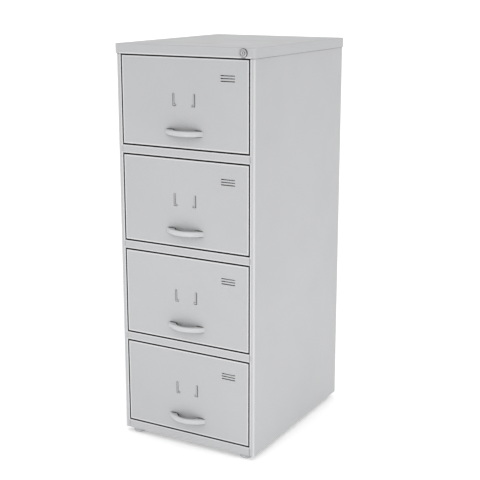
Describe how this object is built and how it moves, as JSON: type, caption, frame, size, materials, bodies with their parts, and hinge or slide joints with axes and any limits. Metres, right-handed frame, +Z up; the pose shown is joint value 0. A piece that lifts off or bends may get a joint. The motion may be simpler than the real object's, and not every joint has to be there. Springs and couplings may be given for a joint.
{
  "type": "metal filing cabinet",
  "caption": "Tall steel filing cabinet with stacked pull-out file drawers, bowed handles, card clips, a corner lock and round feet.",
  "frame": {"origin": "on the floor under the middle of the whole object's box", "axes": "+Z up, drawers open towards -Y, +X to the right of someone facing the drawers"},
  "size_m": [0.5046, 0.6672, 1.32],
  "materials": {
    "body_paint": "light grey textured powder coat",
    "front_paint": "light grey textured powder coat",
    "handle_paint": "light grey smooth powder coat",
    "inner_paint": "light grey thin powder coat",
    "runner_steel": "bright zinc plate",
    "fixing_steel": "dull zinc plate",
    "lock_chrome": "satin nickel plate",
    "foot_plastic": "grey moulded nylon"
  },
  "bodies": {
    "cabinet": {"left_side_panel": "body_paint", "right_side_panel": "body_paint", "back_panel": "body_paint", "top_cap": "body_paint", "base_rail": "body_paint", "top_rail": "body_paint", "upper_divider_rail": "body_paint", "middle_divider_rail": "body_paint", "lower_divider_rail": "body_paint", "base_panel": "inner_paint", "front_left_upright": "inner_paint", "front_right_upright": "inner_paint", "rear_left_upright": "inner_paint", "rear_right_upright": "inner_paint", "left_cabinet_runners": "runner_steel", "right_cabinet_runners": "runner_steel", "feet": "foot_plastic", "foot_screws": "fixing_steel", "lock_nut": "fixing_steel", "lock_bar_guides": "fixing_steel", "lock_housing": "lock_chrome"},
    "top_drawer": {"top_drawer_front": "front_paint", "top_drawer_inner_front": "inner_paint", "top_drawer_handle": "handle_paint", "top_drawer_left_wall": "inner_paint", "top_drawer_right_wall": "inner_paint", "top_drawer_floor": "inner_paint", "top_drawer_back": "inner_paint", "top_drawer_runners": "runner_steel"},
    "top_middle": {"top_middle_runners": "runner_steel"},
    "second_drawer": {"second_drawer_front": "front_paint", "second_drawer_inner_front": "inner_paint", "second_drawer_handle": "handle_paint", "second_drawer_left_wall": "inner_paint", "second_drawer_right_wall": "inner_paint", "second_drawer_floor": "inner_paint", "second_drawer_back": "inner_paint", "second_drawer_runners": "runner_steel"},
    "second_middle": {"second_middle_runners": "runner_steel"},
    "third_drawer": {"third_drawer_front": "front_paint", "third_drawer_inner_front": "inner_paint", "third_drawer_handle": "handle_paint", "third_drawer_left_wall": "inner_paint", "third_drawer_right_wall": "inner_paint", "third_drawer_floor": "inner_paint", "third_drawer_back": "inner_paint", "third_drawer_runners": "runner_steel"},
    "third_middle": {"third_middle_runners": "runner_steel"},
    "bottom_drawer": {"bottom_drawer_front": "front_paint", "bottom_drawer_inner_front": "inner_paint", "bottom_drawer_handle": "handle_paint", "bottom_drawer_left_wall": "inner_paint", "bottom_drawer_right_wall": "inner_paint", "bottom_drawer_floor": "inner_paint", "bottom_drawer_back": "inner_paint", "bottom_drawer_runners": "runner_steel"},
    "bottom_middle": {"bottom_middle_runners": "runner_steel"},
    "lock_barrel": {"lock_plug": "lock_chrome", "lock_cam": "fixing_steel"},
    "lock_bar": {"lock_bar": "fixing_steel"}
  },
  "joints": [
    {"name": "top_drawer_slide", "type": "slide", "parent": "cabinet", "child": "top_drawer", "axis": [0, -1, 0], "range_m": [0, 0.56]},
    {"name": "top_middle_slide", "type": "slide", "parent": "cabinet", "child": "top_middle", "axis": [0, -1, 0], "range_m": [0, 0.28]},
    {"name": "second_drawer_slide", "type": "slide", "parent": "cabinet", "child": "second_drawer", "axis": [0, -1, 0], "range_m": [0, 0.56]},
    {"name": "second_middle_slide", "type": "slide", "parent": "cabinet", "child": "second_middle", "axis": [0, -1, 0], "range_m": [0, 0.28]},
    {"name": "third_drawer_slide", "type": "slide", "parent": "cabinet", "child": "third_drawer", "axis": [0, -1, 0], "range_m": [0, 0.56]},
    {"name": "third_middle_slide", "type": "slide", "parent": "cabinet", "child": "third_middle", "axis": [0, -1, 0], "range_m": [0, 0.28]},
    {"name": "bottom_drawer_slide", "type": "slide", "parent": "cabinet", "child": "bottom_drawer", "axis": [0, -1, 0], "range_m": [0, 0.56]},
    {"name": "bottom_middle_slide", "type": "slide", "parent": "cabinet", "child": "bottom_middle", "axis": [0, -1, 0], "range_m": [0, 0.28]},
    {"name": "lock_turn", "type": "hinge", "parent": "cabinet", "child": "lock_barrel", "pos_m": [0.212, -0.30365, 1.30425], "axis": [0, 1, 0], "range_deg": [0, 90]},
    {"name": "lock_bar_drop", "type": "slide", "parent": "cabinet", "child": "lock_bar", "axis": [0, 0, -1], "range_m": [0, 0.007]}
  ],
  "couplings": [
    {"joint": "top_middle_slide", "follows": "top_drawer_slide", "ratio": 0.5},
    {"joint": "second_middle_slide", "follows": "second_drawer_slide", "ratio": 0.5},
    {"joint": "third_middle_slide", "follows": "third_drawer_slide", "ratio": 0.5},
    {"joint": "bottom_middle_slide", "follows": "bottom_drawer_slide", "ratio": 0.5},
    {"joint": "lock_turn", "follows": "lock_bar_drop", "rad_per_m": 224.39}
  ]
}
